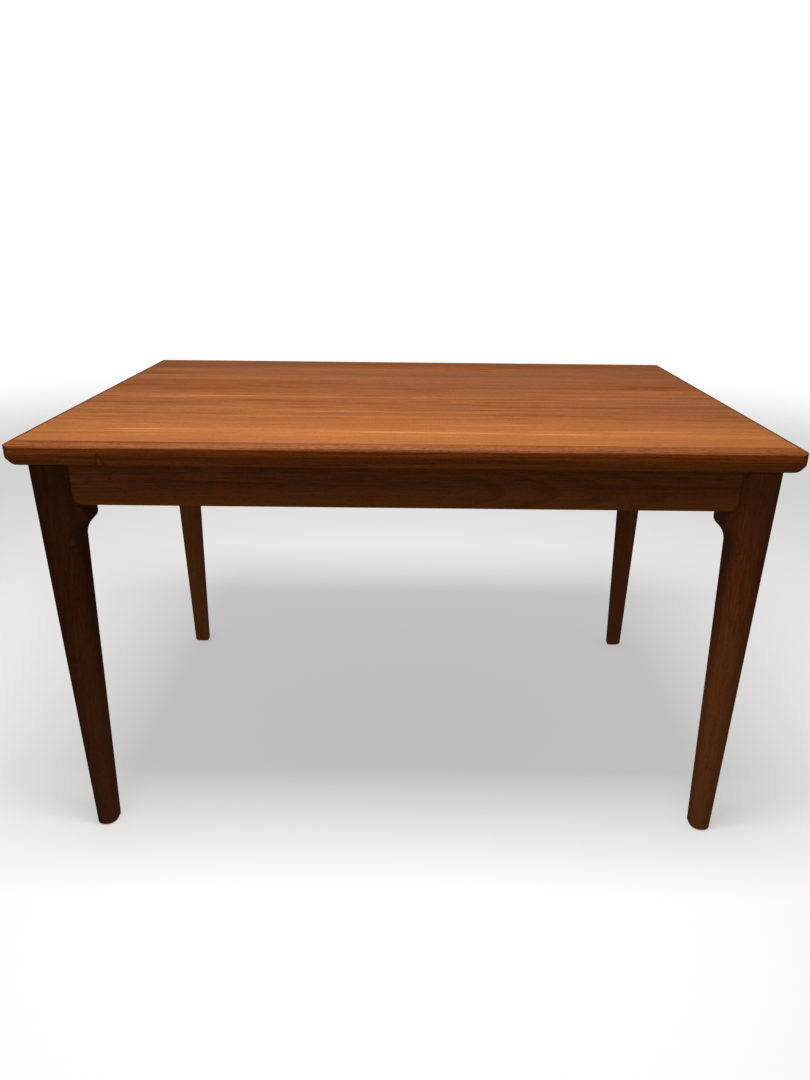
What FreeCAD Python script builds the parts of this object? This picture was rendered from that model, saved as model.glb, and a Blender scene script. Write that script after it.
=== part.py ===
import FreeCAD, Part
import math
import os
import re
import Sketcher

# A dining table with two draw leaves. Millimetres, +Z up, +X along the table, the front at -Y.
# The origin is on the floor, below the middle of the top.

SIZES = [
    # alias, value, what it is
    ("table_length", 1200, "length of the closed table, nose to nose"),
    ("table_width", 815, "width, nose to nose"),
    ("corner_round", 11, "corners of the top, seen from above"),
    ("table_height", 730, "floor to the top's upper face"),
    ("veneer_thick", 1, "face veneer of the loose top"),
    ("core_thick", 19, "core of the loose top"),
    ("leaf_thick", 18, "leaf panel and its lippings"),
    ("leaf_gap", 1, "loose top's underside to the leaf's upper face"),
    ("shadow_gap", 1, "underside of the edge to the frame"),
    ("over_radius", 17, "upper round of the edge, large arc"),
    ("over_angle", 50, "degrees that the large arc turns"),
    ("nose_radius", 4.6, "upper round of the edge, small arc at the nose"),
    ("under_rise", 20, "height at which the lower bevel of the edge starts"),
    ("under_angle", 29, "degrees of the lower bevel from the vertical"),
    ("under_radius", 12, "arc between the lower bevel and the underside"),
    ("skirt_width", 25, "long lippings beside the leaf"),
    ("leaf_side_gap", 2, "leaf to long lipping"),
    ("leaf_end_width", 33, "end lipping of a leaf"),
    ("leaf_lip_width", 12, "side and inner lippings of a leaf"),
    ("board_half", 100, "half width of the centre board"),
    ("board_gap", 6, "centre board to the leaf's inner edge"),
    ("felt_thick", 1, "felt strips on the centre board"),
    ("felt_width", 24, "felt strips on the centre board"),
    ("felt_inset", 8, "felt strip to the board's long edge"),
    ("felt_end_gap", 30, "felt strip to the board's end"),
    ("leg_inset", 50, "leg's axis to the nose of the top, both ways"),
    ("leg_foot_radius", 17.8, "half width of the leg at its foot"),
    ("leg_top_radius", 33, "half width of the leg at its head"),
    ("leg_round_height", 400, "below this height the leg is round outside"),
    ("leg_round_share", 0.97, "corner radius over half width in the round stretch"),
    ("leg_arris_share", 0.25, "the same at the inner corner, all the way"),
    ("leg_head_corner", 7, "corner radius of the head beside the rails"),
    ("rail_height", 63, "rails"),
    ("rail_thick", 22, "rails"),
    ("rail_recess", 4, "rail's outer face behind the leg's head"),
    ("rail_shoulder", 4, "leg's head to the rail's end"),
    ("rail_corner", 14, "rounded lower corner at each rail end"),
    ("ear_length", 15, "rail's end to the tip of the ear below it"),
    ("ear_nose", 31, "upright face at the ear's tip"),
    ("ear_round", 14, "arc below the ear's tip"),
    ("ear_blend", 40, "hollow between the ear and the leg"),
    ("ear_slope", 45, "degrees, the ear's slope from upright"),
    ("ear_edge", 12, "rounding along the ear's outer edge"),
    ("ear_arris", 6, "rounding along the ear's inner edge"),
    ("runner_width", 24, "runners"),
    ("runner_height", 24, "runners"),
    ("runner_ear_gap", 43.5, "outer runner to the leg's ear"),
    ("runner_pitch", 35, "a left leaf's runner to the right leaf's beside it"),
    ("runner_end_gap", 47.5, "runner's inner end to the far end rail"),
    ("runner_setback", 3, "runner's outer end behind the rail's outer face"),
    ("runner_relief", 2, "inner stretch of the runner, lowered by"),
    ("relief_run", 20, "length of the slope to the lowered stretch"),
    ("runner_nose", 8, "chamfer at the runner's inner end"),
    ("runner_side_gap", 0.75, "runner in its notch, each side"),
    ("runner_under_gap", 0.5, "runner above the notch's floor"),
    ("peg_radius", 6, "stop peg"),
    ("peg_hang", 15, "stop peg below the runner"),
    ("peg_depth", 15, "stop peg inside the runner"),
    ("peg_margin", 6, "stop peg to the runner's inner end"),
    ("stop_gap", 0.5, "stop peg to the bearer with the leaf drawn out"),
    ("bearer_half", 11, "half width of the centre bearer"),
    ("bearer_depth", 27, "height of the centre bearer"),
    ("groove_depth", 2.5, "guide grooves in the bearer"),
    ("housing_depth", 8, "bearer's ends housed in the long rails"),
    ("guide_radius", 10, "guide peg of the loose top"),
    ("guide_y", 120, "guide pegs from the middle"),
    ("guide_floor_gap", 3, "guide peg's tip to the centre bearer"),
    ("guide_seat", 12, "guide peg inside the core"),
    ("guide_tip", 3, "chamfer at the guide peg's tip"),
    ("guide_gap", 0.6, "guide peg in the centre board, all round"),
    ("dowel_radius", 5, "rail dowels"),
    ("dowel_half", 28, "dowel length on each side of the joint"),
    ("dowel_upper", 17, "upper dowel below the rail's top"),
    ("dowel_lower", 41, "lower dowel below the rail's top"),
    ("fit_gap", 0.1, "pegs, dowels and screws in their holes, all round"),
    ("block_gap", 2, "leg's corner to the corner block, as x + y in the leg's frame"),
    ("block_width", 40, "corner block's outer to inner face, as x + y in the leg's frame"),
    ("block_thick", 22, "corner block"),
    ("block_raise", 7, "corner block above the rail's lower edge"),
    ("bolt_radius", 3, "corner screw"),
    ("bolt_length", 60, "corner screw"),
    ("bolt_head_radius", 6, "corner screw"),
    ("bolt_head_height", 4, "corner screw"),
    ("screw_radius", 2, "wood screws"),
    ("screw_head_radius", 4, "wood screws"),
    ("screw_head_height", 2.5, "wood screws"),
    ("screw_bite", 12, "runner screw inside the leaf"),
    ("screw_margin", 35, "runner screw to the end of the fixed stretch"),
    ("board_screw_x", 70, "centre board screws from the middle"),
    ("board_screw_length", 40, "centre board screws"),
    ("glide_radius", 12, "foot glide"),
    ("glide_thick", 3, "foot glide"),
    ("glide_pin_radius", 3, "foot glide's pin"),
    ("glide_pin_length", 12, "foot glide's pin"),
]

doc = FreeCAD.newDocument("draw_leaf_table")
sheet = doc.addObject("Spreadsheet::Sheet", "Sizes")
for row, (alias, value, note) in enumerate(SIZES, start=1):
    sheet.set(f"A{row}", note)
    sheet.set(f"B{row}", str(value))
    sheet.setAlias(f"B{row}", alias)
doc.recompute()

# Lengths that follow from the driving sizes, as expressions.
HALF_LENGTH = "(table_length / 2)"
HALF_WIDTH = "(table_width / 2)"
CORE_TOP = "(table_height - veneer_thick)"
CORE_UNDER = "(table_height - veneer_thick - core_thick)"
LEAF_TOP = f"({CORE_UNDER} - leaf_gap)"
EDGE_UNDER = f"({LEAF_TOP} - leaf_thick)"
FRAME_TOP = f"({EDGE_UNDER} - shadow_gap)"
RAIL_UNDER = f"({FRAME_TOP} - rail_height)"
BOARD_TOP = f"({CORE_UNDER} - felt_thick)"
RUNNER_UNDER = f"({EDGE_UNDER} - runner_height)"
NOTCH_FLOOR = f"({RUNNER_UNDER} - runner_under_gap)"
BEARER_TOP = f"({NOTCH_FLOOR} + groove_depth)"
OVER_REACH = "(over_radius * sin(over_angle) + nose_radius * (1 - sin(over_angle)))"
OVER_DROP = "(over_radius * (1 - cos(over_angle)) + nose_radius * cos(over_angle))"
PANEL_HALF_LENGTH = f"({HALF_LENGTH} - {OVER_REACH})"
PANEL_HALF_WIDTH = f"({HALF_WIDTH} - {OVER_REACH})"
SKIRT_INNER = f"({HALF_WIDTH} - skirt_width)"
LEAF_HALF_WIDTH = f"({SKIRT_INNER} - leaf_side_gap)"
LEAF_INNER = "(board_half + board_gap)"
LEG_X = f"({HALF_LENGTH} - leg_inset)"
LEG_Y = f"({HALF_WIDTH} - leg_inset)"
# From a leg's axis: outwards to the rail's faces, and inwards to the rail's end and the ear's tip.
RAIL_OUTER = "(leg_top_radius - rail_recess)"
RAIL_INNER = f"({RAIL_OUTER} - rail_thick)"
RAIL_MIDDLE = f"({RAIL_OUTER} - rail_thick / 2)"
RAIL_START = "(leg_top_radius + rail_shoulder)"
EAR_REACH = f"({RAIL_START} + ear_length)"
BLOCK_NEAR = "(2 * leg_top_radius + block_gap)"
BLOCK_FAR = f"({BLOCK_NEAR} + block_width)"
BLOCK_UNDER = f"({RAIL_UNDER} + block_raise)"
# A leaf draws out until its stop pegs meet the centre bearer: STOP_X less half the bearer, the
# peg's radius and the stop gap.
RUNNER_OUTER = f"({LEG_X} + {RAIL_OUTER} - runner_setback)"
RUNNER_INNER = f"({LEG_X} + {RAIL_INNER} - runner_end_gap)"
STOP_X = f"({RUNNER_INNER} - peg_margin - peg_radius)"
RUNNER_OUTER_Y = f"({LEG_Y} - {EAR_REACH} - runner_ear_gap - runner_width / 2)"
RUNNER_INNER_Y = f"({RUNNER_OUTER_Y} - runner_pitch)"
GUIDE_LOW = f"({BEARER_TOP} + guide_floor_gap)"
HOLE_OVERRUN = 1
TOUCHING = 0.01


def formula(text):
    """The expression with each size's alias read from the spreadsheet."""
    return re.sub(r"\b([a-z]\w*)\b(?!\()", r"Sizes.\1", text)


def bind(item, name, text):
    item.setExpression(name, formula(str(text)))


def number(text):
    return float(sheet.evalExpression(str(text)))


def minus(text):
    return f"(-({text}))"


def side_span(side, near, far):
    """Low and high ends, from a near and a far distance on one side of the middle."""
    return (near, far) if side > 0 else (minus(far), minus(near))


def centred(half):
    return (minus(half), half)


def signed(side, text):
    return text if side > 0 else minus(text)


# ---- Shapes -----------------------------------------------------------------------------------

def box(label, across, deep, tall):
    """A block between the low and high ends given along X, Y and Z."""
    item = doc.addObject("Part::Box", label)
    spans = (across, deep, tall)
    for name, (low, high) in zip(("Length", "Width", "Height"), spans):
        bind(item, name, f"({high}) - ({low})")
    for name, (low, high) in zip(("x", "y", "z"), spans):
        bind(item, f"Placement.Base.{name}", low)
    return item


TURNS = {
    "x": FreeCAD.Rotation(FreeCAD.Vector(0, 1, 0), 90),
    "y": FreeCAD.Rotation(FreeCAD.Vector(1, 0, 0), -90),
    "z": FreeCAD.Rotation(),
    "down": FreeCAD.Rotation(FreeCAD.Vector(1, 0, 0), 180),
    "corner": FreeCAD.Rotation(FreeCAD.Vector(0, 0, 1), FreeCAD.Vector(-1, -1, 0)),
}


def place(item, start, turn):
    item.Placement = FreeCAD.Placement(FreeCAD.Vector(), TURNS[turn])
    for name, text in zip(("x", "y", "z"), start):
        bind(item, f"Placement.Base.{name}", text)
    return item


def rod(label, radius, length, start, turn="z"):
    item = doc.addObject("Part::Cylinder", label)
    bind(item, "Radius", radius)
    bind(item, "Height", length)
    return place(item, start, turn)


def cone(label, first, last, length, start, turn="z"):
    item = doc.addObject("Part::Cone", label)
    bind(item, "Radius1", first)
    bind(item, "Radius2", last)
    bind(item, "Height", length)
    return place(item, start, turn)


def cut(label, base, tools):
    tool = doc.addObject("Part::Compound", f"{label}_tools")
    tool.Links = tools
    item = doc.addObject("Part::Cut", label)
    item.Base = base
    item.Tool = tool
    return item


def fuse(label, shapes):
    item = doc.addObject("Part::MultiFuse", label)
    item.Shapes = shapes
    return item


def common(label, first, second):
    item = doc.addObject("Part::Common", label)
    item.Base = first
    item.Tool = second
    return item


def group(label, items):
    item = doc.addObject("Part::Compound", label)
    item.Links = items
    return item


# ---- Sketched outlines ------------------------------------------------------------------------

PLANES = {
    "plan": FreeCAD.Rotation(),
    "front": FreeCAD.Rotation(FreeCAD.Vector(1, 0, 0), 90),
    "side": FreeCAD.Rotation(FreeCAD.Vector(1, 1, 1), 120),
}
LEFT = 1
RIGHT = -1


def arc_between(start, end, radius, turn):
    """An arc of less than half a circle that turns left or right on its way."""
    chord = end - start
    across = FreeCAD.Vector(-chord.y, chord.x, 0).normalize()
    rise = math.sqrt(radius ** 2 - chord.Length ** 2 / 4)
    centre = (start + end) * 0.5 + across * rise * turn
    first, last = (start, end) if turn == LEFT else (end, start)
    angles = [math.atan2(point.y - centre.y, point.x - centre.x) for point in (first, last)]
    circle = Part.Circle(centre, FreeCAD.Vector(0, 0, 1), radius)
    return Part.ArcOfCircle(circle, *angles)


def outline(label, plane, corners, height="0"):
    """A closed sketch. A corner is (x, y), or (x, y, radius, turn) where an arc leads to the next."""
    item = doc.addObject("Sketcher::SketchObject", label)
    item.Placement = FreeCAD.Placement(FreeCAD.Vector(), PLANES[plane])
    if plane == "plan":
        bind(item, "Placement.Base.z", height)
    points = [FreeCAD.Vector(number(corner[0]), number(corner[1]), 0) for corner in corners]
    starts = []
    ends = []
    for index, corner in enumerate(corners):
        start = points[index]
        end = points[(index + 1) % len(points)]
        if len(corner) == 2:
            item.addGeometry(Part.LineSegment(start, end))
            starts.append(1)
            ends.append(2)
            continue
        radius, turn = corner[2:]
        item.addGeometry(arc_between(start, end, number(radius), turn))
        name = f"radius_{index}"
        item.addConstraint(Sketcher.Constraint("Radius", index, number(radius)))
        item.renameConstraint(item.ConstraintCount - 1, name)
        bind(item, f"Constraints.{name}", radius)
        starts.append(1 if turn == LEFT else 2)
        ends.append(2 if turn == LEFT else 1)
    for index, corner in enumerate(corners):
        before = index - 1 if index else len(corners) - 1
        item.addConstraint(Sketcher.Constraint("Coincident", before, ends[before], index, starts[index]))
        for kind, text, value in (("DistanceX", corner[0], points[index].x),
                                  ("DistanceY", corner[1], points[index].y)):
            name = f"{kind}_{index}"
            item.addConstraint(Sketcher.Constraint(kind, -1, 1, index, starts[index], value))
            item.renameConstraint(item.ConstraintCount - 1, name)
            bind(item, f"Constraints.{name}", text)
    return item


def extrude(label, sketch, direction, low, high):
    """The sketch's face swept along a direction, from a low to a high position."""
    item = doc.addObject("Part::Extrusion", label)
    item.Base = sketch
    item.DirMode = "Custom"
    item.Dir = direction
    item.Solid = True
    bind(item, "LengthFwd", high)
    bind(item, "LengthRev", minus(low))
    return item


ALONG_X = FreeCAD.Vector(1, 0, 0)
ALONG_Y = FreeCAD.Vector(0, 1, 0)
ALONG_Z = FreeCAD.Vector(0, 0, 1)


# ---- Fasteners --------------------------------------------------------------------------------

def wood_screw(label, length, start, turn="z", gap="0"):
    """A countersunk screw whose head's face is at start. With a gap, the hole that takes it."""
    head = cone(f"{label}_head", f"screw_head_radius + {gap}", f"screw_radius + {gap}",
                "screw_head_height", start, turn)
    shank = rod(f"{label}_shank", f"screw_radius + {gap}", f"{length} + {gap}", start, turn)
    return fuse(label, [head, shank])


# ---- The moulded blank that the top's edges are cut from --------------------------------------

def edge_outline(label, plane, half):
    """Section of the blank: rounded over above, an upright nose, and bevelled in below."""
    tangent = "(under_radius * tan((90 - under_angle) / 2))"
    foot = f"({half} - under_rise * tan(under_angle))"
    down = [
        (f"{half} - {OVER_REACH}", "table_height", "over_radius"),
        (f"{half} - {OVER_REACH} + over_radius * sin(over_angle)",
         "table_height - over_radius * (1 - cos(over_angle))", "nose_radius"),
        (half, f"table_height - {OVER_DROP}", None),
        (half, f"{EDGE_UNDER} + under_rise", None),
        (f"{foot} + {tangent} * sin(under_angle)", f"{EDGE_UNDER} + {tangent} * cos(under_angle)",
         "under_radius"),
        (f"{foot} - {tangent}", EDGE_UNDER, None),
    ]
    corners = []
    for x, z, radius in down:
        corners.append((x, z, radius, RIGHT) if radius else (x, z))
    radii = [radius for x, z, radius in down]
    for index in reversed(range(len(down))):
        x, z, _ = down[index]
        radius = radii[index - 1] if index else None
        corners.append((minus(x), z, radius, RIGHT) if radius else (minus(x), z))
    return outline(label, plane, corners)


def make_blank():
    along = extrude("blank_along", edge_outline("edge_along", "side", HALF_WIDTH),
                    ALONG_X, minus(HALF_LENGTH), HALF_LENGTH)
    across = extrude("blank_across", edge_outline("edge_across", "front", HALF_LENGTH),
                     ALONG_Y, minus(HALF_WIDTH), HALF_WIDTH)
    plan = outline("blank_plan", "plan", [
        (f"corner_round - {HALF_LENGTH}", minus(HALF_WIDTH)),
        (f"{HALF_LENGTH} - corner_round", minus(HALF_WIDTH), "corner_round", LEFT),
        (HALF_LENGTH, f"corner_round - {HALF_WIDTH}"),
        (HALF_LENGTH, f"{HALF_WIDTH} - corner_round", "corner_round", LEFT),
        (f"{HALF_LENGTH} - corner_round", HALF_WIDTH),
        (f"corner_round - {HALF_LENGTH}", HALF_WIDTH, "corner_round", LEFT),
        (minus(HALF_LENGTH), f"{HALF_WIDTH} - corner_round"),
        (minus(HALF_LENGTH), f"corner_round - {HALF_WIDTH}", "corner_round", LEFT),
    ], EDGE_UNDER)
    rounded = extrude("blank_rounded", plan, ALONG_Z, "0", f"table_height - {EDGE_UNDER}")
    return common("moulded_blank", common("blank_edges", along, across), rounded)


# ---- The loose top ----------------------------------------------------------------------------

def make_top(blank):
    veneer = box("top_veneer", centred(PANEL_HALF_LENGTH), centred(PANEL_HALF_WIDTH),
                 (CORE_TOP, "table_height"))
    core = box("core_board", centred(PANEL_HALF_LENGTH), centred(PANEL_HALF_WIDTH),
               (CORE_UNDER, CORE_TOP))
    pegs = []
    seats = []
    for side, name in ((-1, "front"), (1, "back")):
        y = signed(side, "guide_y")
        body = rod(f"guide_{name}_body", "guide_radius",
                   f"{CORE_UNDER} + guide_seat - {GUIDE_LOW} - guide_tip",
                   ("0", y, f"{GUIDE_LOW} + guide_tip"))
        tip = cone(f"guide_{name}_tip", "guide_radius - guide_tip", "guide_radius", "guide_tip",
                   ("0", y, GUIDE_LOW))
        pegs.append(fuse(f"guide_peg_{name}", [body, tip]))
        seats.append(rod(f"guide_{name}_seat", "guide_radius + fit_gap", "guide_seat + fit_gap",
                         ("0", y, CORE_UNDER)))
    return [veneer, cut("top_core", core, seats), *pegs, *make_top_lippings(blank)]


def make_top_lippings(blank):
    """Lippings mitred above the leaf's level. The long ones run on down as skirts beside the leaves."""
    lippings = []
    for side, name in ((-1, "front"), (1, "back")):
        mitre = outline(f"mitre_{name}", "plan", [
            (minus(HALF_LENGTH), signed(side, HALF_WIDTH)),
            (HALF_LENGTH, signed(side, HALF_WIDTH)),
            (PANEL_HALF_LENGTH, signed(side, PANEL_HALF_WIDTH)),
            (minus(PANEL_HALF_LENGTH), signed(side, PANEL_HALF_WIDTH)),
        ], CORE_UNDER)
        upper = extrude(f"upper_{name}", mitre, ALONG_Z, "0", f"table_height - {CORE_UNDER}")
        skirt = box(f"skirt_{name}", centred(HALF_LENGTH), side_span(side, SKIRT_INNER, HALF_WIDTH),
                    (EDGE_UNDER, CORE_UNDER))
        lippings.append(common(f"lipping_{name}", blank, fuse(f"region_{name}", [upper, skirt])))
    for side, name in ((-1, "left"), (1, "right")):
        mitre = outline(f"mitre_{name}", "plan", [
            (signed(side, HALF_LENGTH), minus(HALF_WIDTH)),
            (signed(side, HALF_LENGTH), HALF_WIDTH),
            (signed(side, PANEL_HALF_LENGTH), PANEL_HALF_WIDTH),
            (signed(side, PANEL_HALF_LENGTH), minus(PANEL_HALF_WIDTH)),
        ], CORE_UNDER)
        upper = extrude(f"upper_{name}", mitre, ALONG_Z, "0", f"table_height - {CORE_UNDER}")
        lippings.append(common(f"lipping_{name}", blank, upper))
    return lippings


# ---- A draw leaf ------------------------------------------------------------------------------

def runner_places(side):
    """The left leaf's runners and the right leaf's lie side by side, so they are offset."""
    front_y = RUNNER_OUTER_Y if side < 0 else RUNNER_INNER_Y
    back_y = RUNNER_INNER_Y if side < 0 else RUNNER_OUTER_Y
    return (("front", minus(front_y)), ("back", back_y))


def screw_places(side):
    near = f"({LEAF_INNER} + relief_run + screw_margin)"
    far = f"({RUNNER_OUTER} - screw_margin)"
    return [signed(side, place_x) for place_x in (near, f"(({near} + {far}) / 2)", far)]


def make_runner(label, side, y):
    low_top = f"{EDGE_UNDER} - runner_relief"
    shape = [
        (RUNNER_OUTER, EDGE_UNDER),
        (f"{LEAF_INNER} + relief_run", EDGE_UNDER),
        (LEAF_INNER, low_top),
        (minus(RUNNER_INNER), low_top),
        (minus(RUNNER_INNER), f"{RUNNER_UNDER} + runner_nose"),
        (f"runner_nose - {RUNNER_INNER}", RUNNER_UNDER),
        (RUNNER_OUTER, RUNNER_UNDER),
    ]
    sketch = outline(f"{label}_outline", "front", [(signed(side, x), z) for x, z in shape])
    bar = extrude(f"{label}_bar", sketch, ALONG_Y, f"{y} - runner_width / 2", f"{y} + runner_width / 2")
    holes = [
        wood_screw(f"{label}_hole_{index}", f"(runner_height + {HOLE_OVERRUN})",
                   (x, y, RUNNER_UNDER), gap="fit_gap")
        for index, x in enumerate(screw_places(side))
    ]
    holes.append(rod(f"{label}_stop_hole", "peg_radius + fit_gap", "peg_depth + fit_gap",
                     (minus(signed(side, STOP_X)), y, RUNNER_UNDER)))
    return cut(label, bar, holes)


def make_leaf(blank, side, name):
    label = f"leaf_{name}"
    thick = (EDGE_UNDER, LEAF_TOP)
    end_inner = f"({HALF_LENGTH} - leaf_end_width)"
    lip_inner = f"({LEAF_INNER} + leaf_lip_width)"
    lip_side = f"({LEAF_HALF_WIDTH} - leaf_lip_width)"
    parts = [
        common(f"{label}_end_lipping", blank,
               box(f"{label}_end_region", side_span(side, end_inner, HALF_LENGTH),
                   centred(LEAF_HALF_WIDTH), thick)),
        box(f"{label}_inner_lipping", side_span(side, LEAF_INNER, lip_inner),
            centred(LEAF_HALF_WIDTH), thick),
    ]
    for edge, edge_name in ((-1, "front"), (1, "back")):
        parts.append(box(f"{label}_side_lipping_{edge_name}", side_span(side, lip_inner, end_inner),
                         side_span(edge, lip_side, LEAF_HALF_WIDTH), thick))
    board = box(f"{label}_board", side_span(side, lip_inner, end_inner), centred(lip_side), thick)
    pilots = []
    screws = []
    pegs = []
    for place_name, y in runner_places(side):
        parts.append(make_runner(f"{label}_runner_{place_name}", side, y))
        for index, x in enumerate(screw_places(side)):
            tag = f"{label}_{place_name}_{index}"
            pilots.append(rod(f"{tag}_pilot", "screw_radius + fit_gap", "screw_bite + fit_gap",
                              (x, y, EDGE_UNDER)))
            screws.append(wood_screw(f"{tag}_screw", "(runner_height + screw_bite)",
                                     (x, y, RUNNER_UNDER)))
        pegs.append(rod(f"{label}_{place_name}_peg", "peg_radius", "peg_hang + peg_depth",
                        (minus(signed(side, STOP_X)), y, f"{RUNNER_UNDER} - peg_hang")))
    parts.append(cut(f"{label}_panel", board, pilots))
    parts.append(group(f"{label}_screws", screws))
    parts.append(group(f"{label}_stop_pegs", pegs))
    return parts


# ---- Legs -------------------------------------------------------------------------------------
# Each leg is built about its own axis, with +X and +Y towards the middle of the table. Its shape
# is the same about that diagonal, so quarter turns bring it to the four corners.

def leg_radius(height):
    share = f"(({height} - glide_thick) / ({FRAME_TOP} - glide_thick))"
    return f"(leg_foot_radius + (leg_top_radius - leg_foot_radius) * {share})"


EAR_ROOT = leg_radius(f"({RAIL_UNDER} - {EAR_REACH} - ear_nose)")


def leg_section(label, height, outer, flank, arris):
    """A square section with its own corner radius outside, beside the rails and inside."""
    half = leg_radius(height)
    corners = []
    around = ((1, 1, arris), (-1, 1, flank), (-1, -1, outer), (1, -1, flank))
    for side_x, side_y, radius in around:
        x, y = signed(side_x, half), signed(side_y, half)
        short_x, short_y = signed(side_x, f"{half} - {radius}"), signed(side_y, f"{half} - {radius}")
        first, last = ((x, short_y), (short_x, y)) if side_x == side_y else ((short_x, y), (x, short_y))
        corners.append((*first, radius, LEFT))
        corners.append(last)
    return outline(label, "plan", corners, height)


def shoulder_outline(label, plane):
    """The head beyond the leg, hollowed to take the rail's end."""
    core = f"({leg_radius(RAIL_UNDER)} / 2)"
    return outline(label, plane, [
        (core, FRAME_TOP),
        (core, RAIL_UNDER),
        (f"{RAIL_START} + rail_corner", RAIL_UNDER, "rail_corner", RIGHT),
        (RAIL_START, f"{RAIL_UNDER} + rail_corner"),
        (RAIL_START, FRAME_TOP),
    ])


def ear_outline(label, plane):
    """The ear below the rail: an upright nose, a slope and a hollow that runs into the leg."""
    core = f"({EAR_ROOT} / 2)"
    nose_cut = "(ear_round * tan(ear_slope / 2))"
    blend_cut = "(ear_blend * tan(ear_slope / 2))"
    tip_low = f"({RAIL_UNDER} - ear_nose)"
    bend = f"({tip_low} - ({EAR_REACH} - {EAR_ROOT}) / tan(ear_slope))"
    return outline(label, plane, [
        (core, RAIL_UNDER),
        (core, f"{bend} - {blend_cut}"),
        (EAR_ROOT, f"{bend} - {blend_cut}", "ear_blend", RIGHT),
        (f"{EAR_ROOT} + {blend_cut} * sin(ear_slope)", f"{bend} + {blend_cut} * cos(ear_slope)"),
        (f"{EAR_REACH} - {nose_cut} * sin(ear_slope)", f"{tip_low} - {nose_cut} * cos(ear_slope)",
         "ear_round", LEFT),
        (EAR_REACH, f"{tip_low} + {nose_cut}"),
        (EAR_REACH, RAIL_UNDER),
    ])


def soften_ear(label, ear, depth_axis, reach_axis):
    """Round the ear's free edges, outer and inner: its nose, its slope and its hollow."""
    doc.recompute()
    root = number(EAR_ROOT)
    chosen = []
    for index, edge in enumerate(ear.Shape.Edges, start=1):
        spots = [vertex.Point for vertex in edge.Vertexes]
        beyond_leg = all(getattr(spot, reach_axis) > root - TOUCHING for spot in spots)
        sloping = abs(spots[0].z - spots[-1].z) > TOUCHING
        for face, size in ((-root, "ear_edge"), (root, "ear_arris")):
            on_face = all(abs(getattr(spot, depth_axis) - face) < TOUCHING for spot in spots)
            if on_face and beyond_leg and sloping:
                chosen.append((index, number(size), number(size)))
    item = doc.addObject("Part::Fillet", label)
    item.Base = ear
    item.Edges = chosen
    return item


def make_leg(name, side_x, side_y, turn):
    label = f"leg_{name}"
    foot = leg_section(f"{label}_foot", "glide_thick", *round_corners("glide_thick"))
    waist = leg_section(f"{label}_waist", "leg_round_height", *round_corners("leg_round_height"))
    head_corner = "leg_head_corner"
    head = leg_section(f"{label}_head", FRAME_TOP, f"({leg_radius(FRAME_TOP)} * leg_round_share)",
                       head_corner, head_corner)
    shaft = doc.addObject("Part::Loft", f"{label}_shaft")
    shaft.Sections = [foot, waist, head]
    shaft.Solid = True
    shaft.Ruled = True
    ears = []
    for reach, depth, plane, direction in (("x", "y", "front", ALONG_Y), ("y", "x", "side", ALONG_X)):
        sketch = shoulder_outline(f"{label}_shoulder_{reach}_outline", plane)
        shoulder = extrude(f"{label}_shoulder_{reach}", sketch, direction, minus(EAR_ROOT), minus(RAIL_INNER))
        sketch = ear_outline(f"{label}_ear_{reach}_outline", plane)
        ear = extrude(f"{label}_ear_{reach}_blank", sketch, direction, minus(EAR_ROOT), EAR_ROOT)
        ears += [shoulder, soften_ear(f"{label}_ear_{reach}", ear, depth, reach)]
    holes = [corner_bolt_hole(f"{label}_bolt_hole")]
    holes.append(rod(f"{label}_glide_hole", "glide_pin_radius + fit_gap",
                     f"glide_pin_length + fit_gap + {HOLE_OVERRUN}",
                     ("0", "0", f"glide_thick - {HOLE_OVERRUN}")))
    for level in ("upper", "lower"):
        z = f"({FRAME_TOP} - dowel_{level})"
        start = f"{RAIL_START} - dowel_half - fit_gap"
        length = f"dowel_half + fit_gap + {EAR_REACH}"
        holes.append(rod(f"{label}_dowel_{level}_x", "dowel_radius + fit_gap", length,
                         (start, minus(RAIL_MIDDLE), z), "x"))
        holes.append(rod(f"{label}_dowel_{level}_y", "dowel_radius + fit_gap", length,
                         (minus(RAIL_MIDDLE), start, z), "y"))
    leg = cut(label, fuse(f"{label}_whole", [shaft, *ears]), holes)
    return to_corner(leg, side_x, side_y, turn)


def round_corners(height):
    outside = f"({leg_radius(height)} * leg_round_share)"
    inside = f"({leg_radius(height)} * leg_arris_share)"
    return outside, outside, inside


def to_corner(item, side_x, side_y, turn):
    """Bring a piece from the leg's own frame to its corner of the table."""
    item.Placement = FreeCAD.Placement(FreeCAD.Vector(), FreeCAD.Rotation(ALONG_Z, turn))
    bind(item, "Placement.Base.x", signed(side_x, LEG_X))
    bind(item, "Placement.Base.y", signed(side_y, LEG_Y))
    return item


def bolt_start(beyond):
    """A point on the diagonal, a distance beyond the corner block's inner face."""
    return f"({BLOCK_FAR} / 2 + ({beyond}) / sqrt(2))"


def corner_bolt_hole(label):
    start = bolt_start(HOLE_OVERRUN)
    length = f"bolt_length + fit_gap + {HOLE_OVERRUN}"
    return rod(label, "bolt_radius + fit_gap", length,
               (start, start, f"{BLOCK_UNDER} + block_thick / 2"), "corner")


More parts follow.
